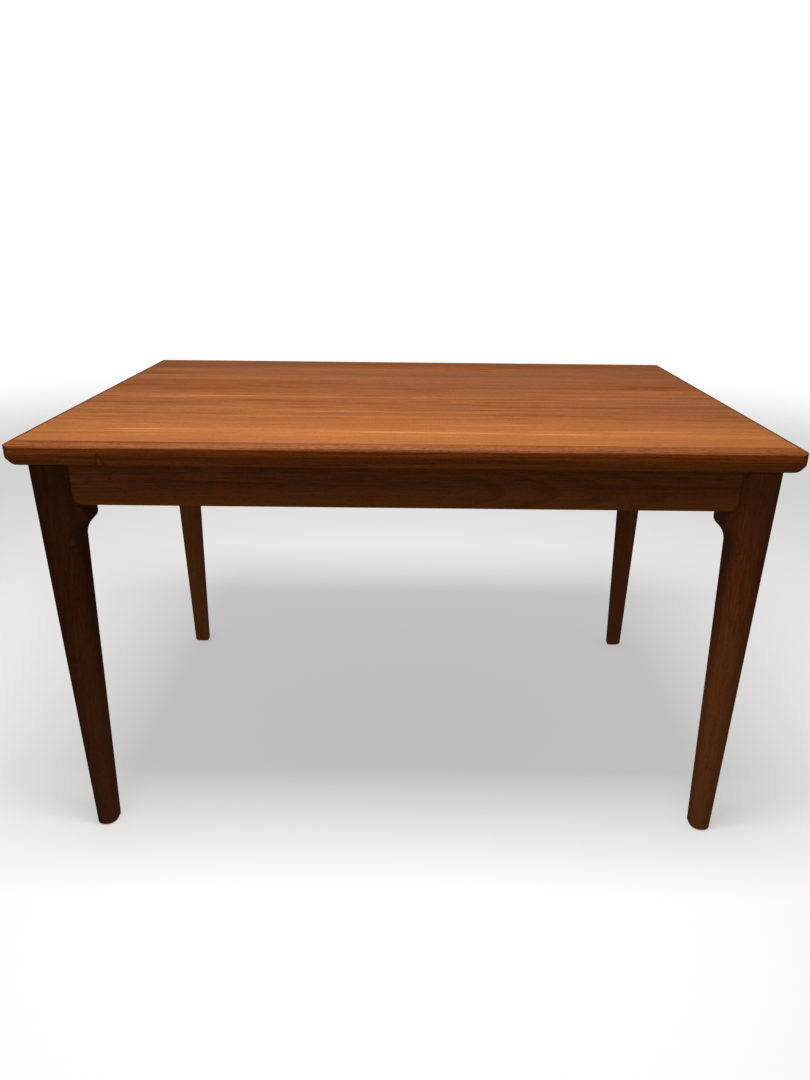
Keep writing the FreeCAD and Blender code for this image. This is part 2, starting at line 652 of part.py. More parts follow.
def make_corner(name, side_x, side_y, turn):
    """The block across the corner, its screw, and the glide under the foot."""
    plan = outline(f"block_{name}_outline", "plan", [
        (minus(RAIL_INNER), f"{BLOCK_NEAR} + {RAIL_INNER}"),
        (f"{BLOCK_NEAR} + {RAIL_INNER}", minus(RAIL_INNER)),
        (f"{BLOCK_FAR} + {RAIL_INNER}", minus(RAIL_INNER)),
        (minus(RAIL_INNER), f"{BLOCK_FAR} + {RAIL_INNER}"),
    ], BLOCK_UNDER)
    bar = extrude(f"block_{name}_bar", plan, ALONG_Z, "0", "block_thick")
    block = cut(f"corner_block_{name}", bar, [corner_bolt_hole(f"block_{name}_hole")])
    middle = f"{BLOCK_UNDER} + block_thick / 2"
    shank_at = bolt_start("0")
    head_at = bolt_start("bolt_head_height")
    shank = rod(f"bolt_{name}_shank", "bolt_radius", "bolt_length", (shank_at, shank_at, middle), "corner")
    head = rod(f"bolt_{name}_head", "bolt_head_radius", "bolt_head_height",
               (head_at, head_at, middle), "corner")
    bolt = fuse(f"bolt_{name}", [shank, head])
    disc = rod(f"glide_{name}_disc", "glide_radius", "glide_thick", ("0", "0", "0"))
    pin = rod(f"glide_{name}_pin", "glide_pin_radius", "glide_pin_length", ("0", "0", "glide_thick"))
    glide = fuse(f"foot_glide_{name}", [disc, pin])
    return [to_corner(piece, side_x, side_y, turn) for piece in (block, bolt, glide)]


CORNERS = (
    ("front_left", -1, -1, 0),
    ("front_right", 1, -1, 90),
    ("back_right", 1, 1, 180),
    ("back_left", -1, 1, 270),
)


# ---- Rails, centre bearer and centre board ----------------------------------------------------

def rail_outline(label, plane, half):
    """A rail's face. Its rounded lower corners fit the hollows in the leg heads."""
    end = f"({half} - {RAIL_START})"
    return outline(label, plane, [
        (end, FRAME_TOP),
        (minus(end), FRAME_TOP),
        (minus(end), f"{RAIL_UNDER} + rail_corner", "rail_corner", LEFT),
        (f"rail_corner - {end}", RAIL_UNDER),
        (f"{end} - rail_corner", RAIL_UNDER, "rail_corner", LEFT),
        (end, f"{RAIL_UNDER} + rail_corner"),
    ])


def make_rails():
    rails = []
    dowels = []
    for side, name in ((-1, "front"), (1, "back")):
        span = side_span(side, f"{LEG_Y} + {RAIL_INNER}", f"{LEG_Y} + {RAIL_OUTER}")
        bar = extrude(f"{name}_rail_bar", rail_outline(f"{name}_rail_face", "front", LEG_X),
                      ALONG_Y, *span)
        face = f"{LEG_Y} + {RAIL_INNER}"
        housing = box(f"{name}_rail_housing", centred("bearer_half"),
                      side_span(side, f"{face} - {HOLE_OVERRUN}", f"{face} + housing_depth"),
                      (f"{BEARER_TOP} - bearer_depth", BEARER_TOP))
        holes, pins = dowel_set(name, "x", LEG_X, signed(side, f"{LEG_Y} + {RAIL_MIDDLE}"))
        screws = [
            rod(f"{name}_rail_screw_{index}", "screw_radius + fit_gap", "board_screw_length + fit_gap",
                (x, signed(side, board_screw_y()), BOARD_TOP), "down")
            for index, x in enumerate((minus("board_screw_x"), "board_screw_x"))
        ]
        rails.append(cut(f"{name}_rail", bar, [housing, *holes, *screws]))
        dowels.extend(pins)
    for side, name in ((-1, "left"), (1, "right")):
        span = side_span(side, f"{LEG_X} + {RAIL_INNER}", f"{LEG_X} + {RAIL_OUTER}")
        bar = extrude(f"{name}_rail_bar", rail_outline(f"{name}_rail_face", "side", LEG_Y),
                      ALONG_X, *span)
        notches = [
            box(f"{name}_rail_notch_{place_name}",
                side_span(side, f"{LEG_X} + {RAIL_INNER} - {HOLE_OVERRUN}",
                          f"{LEG_X} + {RAIL_OUTER} + {HOLE_OVERRUN}"),
                notch_span(y), (NOTCH_FLOOR, f"{FRAME_TOP} + {HOLE_OVERRUN}"))
            for place_name, y in runner_places(side)
        ]
        holes, pins = dowel_set(name, "y", LEG_Y, signed(side, f"{LEG_X} + {RAIL_MIDDLE}"))
        rails.append(cut(f"{name}_rail", bar, [*notches, *holes]))
        dowels.extend(pins)
    rails.append(group("rail_dowels", dowels))
    return rails


def notch_span(y):
    half = "(runner_width / 2 + runner_side_gap)"
    return (f"{y} - {half}", f"{y} + {half}")


def dowel_set(name, turn, leg_at, line):
    """Two dowels at each end of a rail, and the holes for them in the rail."""
    holes = []
    pins = []
    for end, end_name in ((-1, "first"), (1, "last")):
        joint = signed(end, f"({leg_at} - {RAIL_START})")
        for level in ("upper", "lower"):
            z = f"{FRAME_TOP} - dowel_{level}"
            tag = f"{name}_{end_name}_{level}"
            low = f"{joint} - dowel_half"
            start = (low, line, z) if turn == "x" else (line, low, z)
            pins.append(rod(f"{tag}_dowel", "dowel_radius", "2 * dowel_half", start, turn))
            wide = f"{joint} - dowel_half - fit_gap"
            start = (wide, line, z) if turn == "x" else (line, wide, z)
            holes.append(rod(f"{tag}_hole", "dowel_radius + fit_gap", "2 * (dowel_half + fit_gap)",
                             start, turn))
    return holes, pins


def board_screw_y():
    """Midway over the bearing of the centre board on a long rail."""
    return f"(({LEG_Y} + {RAIL_INNER} + {LEAF_HALF_WIDTH}) / 2)"


def make_centre():
    bar = box("bearer_bar", centred("bearer_half"), centred(f"{LEG_Y} + {RAIL_INNER} + housing_depth"),
              (f"{BEARER_TOP} - bearer_depth", BEARER_TOP))
    grooves = [
        box(f"bearer_groove_{side}_{place_name}", centred(f"bearer_half + {HOLE_OVERRUN}"), notch_span(y),
            (NOTCH_FLOOR, f"{BEARER_TOP} + {HOLE_OVERRUN}"))
        for side in (-1, 1) for place_name, y in runner_places(side)
    ]
    bearer = cut("centre_bearer", bar, grooves)
    plank = box("board_plank", centred("board_half"), centred(LEAF_HALF_WIDTH), (FRAME_TOP, BOARD_TOP))
    holes = []
    screws = []
    for side, name in ((-1, "front"), (1, "back")):
        holes.append(rod(f"board_guide_hole_{name}", "guide_radius + guide_gap",
                         f"{BOARD_TOP} - {FRAME_TOP} + 2 * {HOLE_OVERRUN}",
                         ("0", signed(side, "guide_y"), f"{FRAME_TOP} - {HOLE_OVERRUN}")))
        for index, x in enumerate((minus("board_screw_x"), "board_screw_x")):
            start = (x, signed(side, board_screw_y()), BOARD_TOP)
            tag = f"board_{name}_{index}"
            screws.append(wood_screw(f"{tag}_screw", "board_screw_length", start, "down"))
            holes.append(wood_screw(f"{tag}_hole", "board_screw_length", start, "down", "fit_gap"))
    board = cut("centre_board", plank, holes)
    strips = [
        box(f"felt_{name}",
            side_span(side, "board_half - felt_inset - felt_width", "board_half - felt_inset"),
            centred(f"{LEAF_HALF_WIDTH} - felt_end_gap"), (BOARD_TOP, CORE_UNDER))
        for side, name in ((-1, "left"), (1, "right"))
    ]
    return [bearer, board, group("centre_board_screws", screws), group("centre_felt", strips)]


# ---- The whole table --------------------------------------------------------------------------

blank = make_blank()
parts = make_top(blank)
for side, name in ((-1, "left"), (1, "right")):
    parts.extend(make_leaf(blank, side, name))
corner_bolts = []
for name, side_x, side_y, turn in CORNERS:
    parts.append(make_leg(name, side_x, side_y, turn))
    block, bolt, glide = make_corner(name, side_x, side_y, turn)
    parts.extend([block, glide])
    corner_bolts.append(bolt)
parts.append(group("corner_block_screws", corner_bolts))
parts.extend(make_rails())
parts.extend(make_centre())
doc.recompute()

for item in doc.Objects:
    if "Invalid" in item.State or "Error" in item.State:
        raise RuntimeError(f"{item.Label} failed: {item.State}")
for item in parts:
    if item.Shape.isNull() or not item.Shape.isValid() or not item.Shape.Solids:
        raise RuntimeError(f"{item.Label} has no sound shape")

os.makedirs("parts", exist_ok=True)
for item in parts:
    item.Shape.exportStep(f"parts/{item.Label}.step")
print(len(parts), "pieces written")
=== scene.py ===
import math

import bpy
from mathutils import Matrix, Vector

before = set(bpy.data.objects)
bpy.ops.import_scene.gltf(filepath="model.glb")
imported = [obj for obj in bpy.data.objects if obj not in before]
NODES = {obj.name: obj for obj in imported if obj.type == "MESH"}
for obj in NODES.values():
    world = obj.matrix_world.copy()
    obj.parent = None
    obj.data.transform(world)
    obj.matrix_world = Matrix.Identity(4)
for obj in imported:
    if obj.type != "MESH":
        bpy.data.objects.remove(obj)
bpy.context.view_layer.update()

# ---------------------------------------------------------------------------
# Node graphs
# ---------------------------------------------------------------------------


class Graph:
    """Builds one material's node tree. A value may be a number, a colour or another node's output."""

    def __init__(self, name):
        self.material = bpy.data.materials.new(name)
        self.material.use_nodes = True
        self.tree = self.material.node_tree
        self.tree.nodes.clear()
        self.output = self.tree.nodes.new("ShaderNodeOutputMaterial")

    def add(self, kind, inputs=None, **settings):
        made = self.tree.nodes.new(kind)
        for key, value in settings.items():
            setattr(made, key, value)
        for key, value in (inputs or {}).items():
            self.feed(made.inputs[key], value)
        return made

    def feed(self, socket, value):
        if isinstance(value, bpy.types.NodeSocket):
            self.tree.links.new(value, socket)
        elif isinstance(value, (tuple, list)) and socket.type == "RGBA" and len(value) == 3:
            socket.default_value = (*value, 1.0)
        else:
            socket.default_value = value

    def math(self, operation, a, b=0.0, c=0.0, clamp=False):
        made = self.add("ShaderNodeMath", operation=operation, use_clamp=clamp)
        for socket, value in zip(made.inputs, (a, b, c)):
            self.feed(socket, value)
        return made.outputs[0]

    def vector(self, operation, a, b=(0, 0, 0)):
        made = self.add("ShaderNodeVectorMath", operation=operation)
        self.feed(made.inputs[0], a)
        self.feed(made.inputs[1], b)
        return made.outputs["Value" if operation == "LENGTH" else "Vector"]

    def remap(self, value, low, high, to_low=0.0, to_high=1.0, smooth=True):
        kind = "SMOOTHSTEP" if smooth else "LINEAR"
        made = self.add("ShaderNodeMapRange", interpolation_type=kind)
        for socket, item in zip(made.inputs, (value, low, high, to_low, to_high)):
            self.feed(socket, item)
        return made.outputs[0]

    def mix(self, factor, a, b, blend="MIX"):
        made = self.add("ShaderNodeMix", data_type="RGBA", blend_type=blend, clamp_factor=True)
        self.feed(made.inputs[0], factor)
        self.feed(made.inputs[6], a)
        self.feed(made.inputs[7], b)
        return made.outputs[2]

    def noise(self, vector, scale, detail=2.0, roughness=0.5, distortion=0.0):
        stretched = self.vector("MULTIPLY", vector, scale)
        made = self.add("ShaderNodeTexNoise", {"Vector": stretched, "Scale": 1.0, "Detail": detail,
                                               "Roughness": roughness, "Distortion": distortion})
        return made.outputs[0]

    def place(self):
        return self.add("ShaderNodeTexCoord").outputs["Object"]

    def split(self, vector):
        return self.add("ShaderNodeSeparateXYZ", {0: vector}).outputs

    def join(self, x, y, z):
        return self.add("ShaderNodeCombineXYZ", {0: x, 1: y, 2: z}).outputs[0]

    def bump(self, height, strength, distance):
        return self.add("ShaderNodeBump", {"Height": height, "Strength": strength,
                                           "Distance": distance}).outputs[0]

    def surface(self, **sockets):
        made = self.add("ShaderNodeBsdfPrincipled", {k.replace("_", " "): v for k, v in sockets.items()})
        self.tree.links.new(made.outputs[0], self.output.inputs[0])
        return self.material


# ---------------------------------------------------------------------------
# Wood
# ---------------------------------------------------------------------------

AXES = {"X": (0, 1, 2), "Y": (1, 0, 2), "Z": (2, 0, 1)}

# Finishes: roughness and specular level.
SATIN = (0.50, 0.22)
OIL_EDGE = (0.52, 0.09)
OIL_FRAME = (0.50, 0.10)
RAW = (0.42, 0.30)
DULL = (0.42, 0.20)

# Growth rings, in metres from one to the next.
VENEER_RINGS = 0.0085
LIPPING_RINGS = 0.0036
LEG_RINGS = 0.0036
RAIL_RINGS = 0.0070


def grain_space(graph, grain, shift):
    """Object coordinates turned so that X runs along the grain, and moved by shift."""
    parts = graph.split(graph.place())
    turned = graph.join(*(parts[i] for i in AXES[grain]))
    return graph.vector("ADD", turned, shift)


def growth_rings(graph, point, gap, wander=0.02):
    """0 in the early wood to 1 in the thin dark late wood, round a pith at the point's X axis."""
    drift = graph.noise(point, (0.9, 5.0, 5.0), detail=2.0)
    drift = graph.math("MULTIPLY", graph.math("SUBTRACT", drift, 0.5), wander)
    parts = graph.split(point)
    across = graph.math("ADD", parts[1], drift)
    depth = graph.math("ADD", parts[2], drift)
    far = graph.vector("LENGTH", graph.join(0.0, across, depth))
    count = graph.math("DIVIDE", far, gap)
    uneven = graph.noise(point, (1.4, 26.0, 26.0), detail=2.0)
    count = graph.math("MULTIPLY_ADD", uneven, 2.4, count)
    saw = graph.math("FRACT", count)
    rise = graph.remap(saw, 0.25, 0.9)
    fall = graph.remap(saw, 0.93, 1.0, 1.0, 0.0)
    return graph.math("MULTIPLY", rise, fall)


def fibres(graph, point, length=0.11, width=0.0017):
    return graph.noise(point, (1 / length, 1 / width, 1 / width), detail=3.0, roughness=0.62)


def pores(graph, point, length=0.007, width=0.00055):
    """1 in the short open vessels, 0 between them."""
    spots = graph.noise(point, (1 / length, 1 / width, 1 / width), detail=1.0)
    return graph.remap(spots, 0.57, 0.68)


def wood_tone(graph, point, tones, ring_gap, ring_depth, band_depth=0.8):
    """Colour, fibre pattern and vessels of a piece of wood with the tones (pale, middle, dark, late)."""
    pale, middle, dark, late = tones
    broad = graph.noise(point, (0.55, 13.0, 13.0), detail=2.0, roughness=0.55)
    bands = graph.noise(point, (1.3, 70.0, 70.0), detail=3.0, roughness=0.6)
    threads = fibres(graph, point)
    vessels = pores(graph, point)
    rings = growth_rings(graph, point, ring_gap)
    colour = graph.mix(graph.remap(broad, 0.36, 0.62), pale, middle)
    colour = graph.mix(graph.math("MULTIPLY", graph.remap(bands, 0.45, 0.72), band_depth), colour, dark)
    colour = graph.mix(graph.math("MULTIPLY", rings, ring_depth), colour, late)
    flecks = graph.noise(point, (34.0, 620.0, 620.0), detail=3.0, roughness=0.75)
    light = graph.remap(threads, 0.30, 0.70, 0.78, 1.22, smooth=False)
    light = graph.math("MULTIPLY", light, graph.remap(flecks, 0.30, 0.70, 0.72, 1.28, smooth=False))
    colour = graph.mix(1.0, colour, graph.join(light, light, light), "MULTIPLY")
    return colour, threads, vessels


def finish_wood(graph, colour, threads, vessels, finish):
    """Vessels darken the colour, roughen the gloss and sink into the surface; threads ripple it."""
    roughness, level = finish
    shade = graph.math("MULTIPLY", vessels, 0.60)
    colour = graph.mix(shade, colour, graph.mix(1.0, colour, (0.26, 0.20, 0.18), "MULTIPLY"))
    rough = graph.math("MULTIPLY_ADD", threads, 0.16, roughness - 0.08)
    rough = graph.math("MULTIPLY_ADD", vessels, 0.18, rough, clamp=True)
    height = graph.math("MULTIPLY_ADD", vessels, -0.9, graph.math("MULTIPLY", threads, 0.5))
    return graph.surface(Base_Color=colour, Roughness=rough, Specular_IOR_Level=level,
                         Normal=graph.bump(height, 0.35, 0.00025))


def timber(name, grain, shift, tones, finish=RAW, ring_gap=0.0045, ring_depth=0.35):
    graph = Graph(name)
    point = grain_space(graph, grain, shift)
    colour, threads, vessels = wood_tone(graph, point, tones, ring_gap, ring_depth)
    return finish_wood(graph, colour, threads, vessels, finish)


# Tones of each wood: pale, middle, dark, late wood.
VENEER = ((0.335, 0.118, 0.034), (0.262, 0.083, 0.023), (0.190, 0.053, 0.015), (0.140, 0.036, 0.010))
EDGE = ((0.310, 0.072, 0.008), (0.250, 0.054, 0.0055), (0.17, 0.035, 0.0035), (0.095, 0.019, 0.002))
# Painted light: the lippings' tones where their surface faces up, standing in for the light from above.
PAINTED_LIGHT_UP = ((0.31, 0.100, 0.026), (0.225, 0.067, 0.016), (0.135, 0.036, 0.009), (0.08, 0.020, 0.005))
PAINTED_LIGHT_UP_DIM = ((0.185, 0.056, 0.015), (0.150, 0.043, 0.011), (0.105, 0.028, 0.007), (0.065, 0.016, 0.004))
RAIL = ((0.205, 0.052, 0.006), (0.165, 0.039, 0.0045), (0.125, 0.028, 0.0032), (0.08, 0.017, 0.002))
LEG = ((0.172, 0.042, 0.0065), (0.138, 0.031, 0.0048), (0.100, 0.022, 0.0034), (0.062, 0.013, 0.002))
LEAF = ((0.40, 0.165, 0.060), (0.33, 0.130, 0.048), (0.24, 0.088, 0.033), (0.16, 0.055, 0.021))
# Painted light and painted sheen on the top: a warmer tone towards the front, a duller, greyer one
# towards the back.
TEAK_FRONT_LIGHT = (0.48, 0.175, 0.042)
TEAK_BACK_SHEEN = (0.225, 0.098, 0.046)
TEAK_STREAK = (0.70, 0.36, 0.11)
TEAK_FIGURE = (0.40, 0.095, 0.026)
KNOT_RIM = (0.050, 0.013, 0.003)
# Painted shade at the head of each leg under the top, and painted light lower on the legs.
LEG_HEAD_SHADE = (0.085, 0.024, 0.009)
LEG_LOW_LIGHT = (0.270, 0.092, 0.024)
LEG_DUST = (0.19, 0.090, 0.040)
# Painted light on the rails' lower part, below the shade of the top's overhang.
RAIL_LOW_LIGHT = (0.232, 0.067, 0.010)
BEECH = ((0.62, 0.44, 0.27), (0.56, 0.38, 0.22), (0.48, 0.31, 0.17), (0.40, 0.25, 0.14))
BOARD = ((0.42, 0.26, 0.13), (0.36, 0.21, 0.10), (0.29, 0.16, 0.075), (0.22, 0.12, 0.055))


def assign(node, material):
    mesh = NODES[node].data
    mesh.materials.clear()
    mesh.materials.append(material)


# ---------------------------------------------------------------------------
# The top
# ---------------------------------------------------------------------------

# Pale streaks in the veneer: first X, last X, Y and half width in metres, and strength.
STREAKS = (
    (-0.573, -0.297, 0.250, 0.0024, 0.34),
    (-0.438, -0.259, -0.037, 0.0026, 0.62),
    (-0.520, -0.350, -0.052, 0.0030, 0.30),
    (-0.487, -0.315, -0.310, 0.0024, 0.55),
    (-0.560, -0.390, -0.275, 0.0026, 0.32),
    (-0.126, 0.182, -0.318, 0.0034, 0.52),
    (-0.010, 0.240, -0.262, 0.0022, 0.30),
    (0.183, 0.307, -0.322, 0.0028, 0.45),
    (0.314, 0.467, -0.301, 0.0028, 0.45),
    (0.067, 0.119, -0.078, 0.0020, 0.40),
    (0.256, 0.557, -0.034, 0.0034, 0.24),
    (0.295, 0.341, 0.235, 0.0020, 0.32),
)
# The veneer's strips, and the Y of the first one's edge.
STRIP_WIDTH = 0.197
STRIP_START = -0.394
# Ends of the faint reddish line in the veneer: X and Y.
FIGURE = ((-0.127, 0.099), (-0.066, 0.187))
# Middle of the knot in the front lipping.
KNOT = (-0.458, -0.4075, 0.704)


def streaks(graph, point):
    """How much of the pale streaks shows at a point of the veneer."""
    parts = graph.split(point)
    sway = graph.noise(point, (2.2, 3.0, 1.0), detail=1.0)
    sway = graph.math("MULTIPLY_ADD", sway, 0.012, -0.006)
    y = graph.math("ADD", parts[1], sway)
    total = 0.0
    for first, last, middle, half, strength in STREAKS:
        reach = (last - first) / 2
        along = graph.math("SUBTRACT", parts[0], (first + last) / 2)
        along = graph.math("ABSOLUTE", along)
        along = graph.remap(along, reach * 0.45, reach * 1.1, strength, 0.0)
        across = graph.math("ABSOLUTE", graph.math("SUBTRACT", y, middle))
        across = graph.remap(across, half * 0.3, half * 1.9, 1.0, 0.0)
        total = graph.math("MULTIPLY_ADD", along, across, total)
    broken = graph.noise(point, (16.0, 620.0, 1.0), detail=4.0, roughness=0.7)
    broken = graph.remap(broken, 0.42, 0.60, 0.05, 1.0)
    return graph.math("MULTIPLY", total, broken, clamp=True)


def veneer_material():
    """Strips of teak along X, warm at the front edge from painted light, and browner towards the back
    from a painted sheen and shade.
    """
    graph = Graph("top_veneer")
    place = graph.place()
    parts = graph.split(place)
    from_first = graph.math("ADD", parts[1], -STRIP_START)
    strip = graph.math("FLOOR", graph.math("DIVIDE", from_first, STRIP_WIDTH))
    moved = graph.join(graph.math("MULTIPLY_ADD", strip, 0.37, parts[0]),
                       graph.math("MULTIPLY_ADD", strip, 0.011, parts[1]), 0.055)
    colour, threads, vessels = wood_tone(graph, moved, VENEER, VENEER_RINGS, 0.16, 0.6)
    mottle = graph.noise(moved, (4.5, 60.0, 1.0), detail=4.0, roughness=0.65)
    dusky = graph.mix(1.0, colour, (0.78, 0.70, 0.66), "MULTIPLY")
    colour = graph.mix(graph.remap(mottle, 0.48, 0.66), colour, dusky)
    bright = graph.mix(1.0, colour, (1.14, 1.18, 1.20), "MULTIPLY")
    colour = graph.mix(graph.remap(mottle, 0.45, 0.30), colour, bright)
    # Painted light: the front edge of the top warmer and brighter.
    front_light = graph.remap(parts[1], -0.16, -0.31)
    colour = graph.mix(graph.math("MULTIPLY", front_light, 0.30), colour, TEAK_FRONT_LIGHT)
    # Painted sheen and shade: patches of a duller, greyer tone towards the back.
    cloud = graph.remap(graph.noise(place, (1.7, 7.0, 1.0), detail=2.0), 0.42, 0.62)
    back = graph.remap(parts[1], -0.22, 0.02)
    back_sheen = graph.math("MULTIPLY", graph.math("MULTIPLY", cloud, back), 0.30)
    colour = graph.mix(back_sheen, colour, TEAK_BACK_SHEEN)
    colour = graph.mix(streaks(graph, place), colour, TEAK_STREAK)
    colour = graph.mix(figure_mark(graph, parts), colour, TEAK_FIGURE)
    return finish_wood(graph, colour, threads, vessels, SATIN)


def figure_mark(graph, parts):
    """A faint reddish line that crosses the grain."""
    first, last = FIGURE
    slope = (last[1] - first[1]) / (last[0] - first[0])
    along = graph.math("SUBTRACT", parts[0], first[0])
    line = graph.math("MULTIPLY_ADD", along, slope, first[1])
    off = graph.math("ABSOLUTE", graph.math("SUBTRACT", parts[1], line))
    middle = (first[0] + last[0]) / 2
    reach = graph.math("ABSOLUTE", graph.math("SUBTRACT", parts[0], middle))
    inside = graph.remap(reach, 0.020, 0.034, 1.0, 0.0)
    return graph.math("MULTIPLY", graph.remap(off, 0.0, 0.012, 0.55, 0.0), inside)


def lipping_material(name, grain, shift, lit_up_tones=PAINTED_LIGHT_UP, knot=None):
    """Solid teak, dark on its upright face, with painted light: the lit-up tones where the round-over
    faces up.
    """
    graph = Graph(name)
    point = grain_space(graph, grain, shift)
    colour, threads, vessels = wood_tone(graph, point, EDGE, LIPPING_RINGS, 0.40, 0.6)
    lit_up_colour, _, _ = wood_tone(graph, point, lit_up_tones, LIPPING_RINGS, 0.45, 0.7)
    # Painted light: the tone follows how far the surface faces up, with a little noise.
    lit_up_mask = graph.split(graph.add("ShaderNodeNewGeometry").outputs["Normal"])[2]
    patchy = graph.noise(point, (7.0, 60.0, 60.0), detail=2.0)
    lit_up_mask = graph.math("MULTIPLY_ADD", graph.math("SUBTRACT", patchy, 0.5), 0.35, lit_up_mask)
    colour = graph.mix(graph.remap(lit_up_mask, 0.15, 0.70), colour, lit_up_colour)
    if knot:
        colour = knot_mark(graph, colour, knot)
    return finish_wood(graph, colour, threads, vessels, OIL_EDGE)


def knot_mark(graph, colour, middle):
    """A small knot cut lengthwise: a dark arch that widens downwards round a paler heart."""
    away = graph.split(graph.vector("SUBTRACT", graph.place(), middle))
    wobble = graph.noise(graph.place(), (260.0, 90.0, 260.0), detail=2.0)
    across = graph.math("MULTIPLY_ADD", graph.math("SUBTRACT", wobble, 0.5), 0.0035, away[0])
    across = graph.math("ABSOLUTE", across)
    spread = graph.math("MULTIPLY_ADD", away[2], -0.26, 0.0036)
    off = graph.math("SUBTRACT", across, spread)
    tall = graph.remap(graph.math("ABSOLUTE", away[2]), 0.0090, 0.0125, 1.0, 0.0)
    rim = graph.remap(graph.math("ABSOLUTE", off), 0.0003, 0.0019, 1.0, 0.0)
    inside = graph.remap(off, -0.0026, -0.0008, 1.0, 0.0)
    heart = graph.math("MULTIPLY", graph.math("MULTIPLY", inside, tall), 0.35)
    colour = graph.mix(heart, colour, PAINTED_LIGHT_UP[0])
    arch = graph.math("MULTIPLY", graph.math("MULTIPLY", rim, tall), 0.55)
    return graph.mix(arch, colour, KNOT_RIM)


def dress_top():
    assign("top_veneer", veneer_material())
    assign("top_core", timber("top_core", "X", (0.3, 0.4, 0.02), BOARD, DULL))
    for name, grain, shift, lit_up_tones, knot in (
        ("lipping_front", "X", (0.10, 0.44, -0.69), PAINTED_LIGHT_UP, KNOT),
        ("lipping_back", "X", (0.70, -0.36, -0.68), PAINTED_LIGHT_UP_DIM, None),
        ("lipping_left", "Y", (0.20, 0.64, -0.70), PAINTED_LIGHT_UP_DIM, None),
        ("lipping_right", "Y", (0.90, -0.56, -0.69), PAINTED_LIGHT_UP_DIM, None),
    ):
        assign(name, lipping_material(name, grain, shift, lit_up_tones, knot))
    for side in ("front", "back"):
        assign("guide_peg_" + side, timber("guide_peg_" + side, "Z", (0.2, 0.03, 0.1), BEECH))


# ---------------------------------------------------------------------------
# The frame
# ---------------------------------------------------------------------------

# Each leg's pith offset and a factor on the lightness of its tones.
LEGS = {
    "leg_front_left": ((0.10, 0.530, 0.330), 0.50),
    "leg_front_right": ((0.45, -0.520, 0.400), 1.12),
    "leg_back_left": ((0.80, 0.590, -0.380), 1.20),
    "leg_back_right": ((1.20, -0.575, -0.330), 0.88),
}
# Heights between which a tone of the legs or rails comes in, from none to full.
# Painted shade on the legs' heads, under the top.
HEAD_SHADE_FADE = (0.45, 0.66)
# Painted light on the legs lower down, away from the top's shade.
LOW_LIGHT_FADE = (0.56, 0.18)
DUST_FADE = (0.16, 0.0)
# Painted light on the rails' lower part.
RAIL_LIGHT_FADE = (0.690, 0.665)
# Middle of the arched figure in the front rail.
RAIL_ARCH = (0.240, 0.0, 0.654)
ARCH_BEND = 95.0
ARCH_GAP = 0.085


def leg_material(name):
    """Teak along Z, dark under the top from painted shade, lighter lower down from painted light, and
    dusty towards the foot.
    """
    shift, lightness = LEGS[name]
    graph = Graph(name)
    point = grain_space(graph, "Z", shift)
    tones = [tuple(c * lightness for c in tone) for tone in LEG]
    colour, threads, vessels = wood_tone(graph, point, tones, LEG_RINGS, 0.26, 0.6)
    height = graph.split(graph.place())[2]
    # Painted shade: the head of the leg darker under the top.
    head_shade = graph.remap(height, *HEAD_SHADE_FADE)
    colour = graph.mix(graph.math("MULTIPLY", head_shade, 0.35), colour, LEG_HEAD_SHADE)
    patchy = graph.noise(point, (6.0, 40.0, 40.0), detail=3.0)
    # Painted light: the leg lighter from mid height down towards the foot.
    pale = graph.math("MULTIPLY", graph.remap(height, *LOW_LIGHT_FADE), 0.42)
    colour = graph.mix(pale, colour, tuple(c * lightness for c in LEG_LOW_LIGHT))
    low = graph.math("MULTIPLY", graph.remap(height, *DUST_FADE), graph.remap(patchy, 0.38, 0.62))
    colour = graph.mix(graph.math("MULTIPLY", low, 0.30), colour, LEG_DUST)
    return finish_wood(graph, colour, threads, vessels, OIL_FRAME)


def arch_figure(graph, place, middle):
    """Nested arches of late wood where a rail's face is cut along the rings."""
    away = graph.split(graph.vector("SUBTRACT", place, middle))
    x, z = away[0], away[2]
    sway = graph.math("SUBTRACT", graph.noise(place, (9.0, 1.0, 22.0), detail=1.0), 0.5)
    z = graph.math("MULTIPLY_ADD", sway, 0.012, z)
    bend = graph.math("MULTIPLY", graph.math("MULTIPLY", z, z), ARCH_BEND)
    saw = graph.math("FRACT", graph.math("DIVIDE", graph.math("ADD", bend, x), ARCH_GAP))
    lines = graph.math("MULTIPLY", graph.remap(saw, 0.35, 0.92), graph.remap(saw, 0.94, 1.0, 1.0, 0.0))
    near = graph.remap(graph.math("ABSOLUTE", x), 0.10, 0.26, 1.0, 0.0)
    return graph.math("MULTIPLY", lines, near)


def rail_material(name, grain, shift, arch=None):
    """Teak, lighter towards the lower edge from painted light below the shade of the top's overhang."""
    graph = Graph(name)
    point = grain_space(graph, grain, shift)
    colour, threads, vessels = wood_tone(graph, point, RAIL, RAIL_RINGS, 0.14, 0.45)
    height = graph.split(graph.place())[2]
    wave = graph.noise(point, (2.0, 6.0, 6.0), detail=2.0)
    height = graph.math("MULTIPLY_ADD", wave, 0.05, height)
    # Painted light: the rail's lower part lighter, below a wavy line.
    low = graph.remap(height, *RAIL_LIGHT_FADE)
    colour = graph.mix(graph.math("MULTIPLY", low, 0.42), colour, RAIL_LOW_LIGHT)
    if arch:
        figure = graph.math("MULTIPLY", arch_figure(graph, graph.place(), arch), 0.30)
        colour = graph.mix(figure, colour, RAIL[3])
    return finish_wood(graph, colour, threads, vessels, OIL_FRAME)


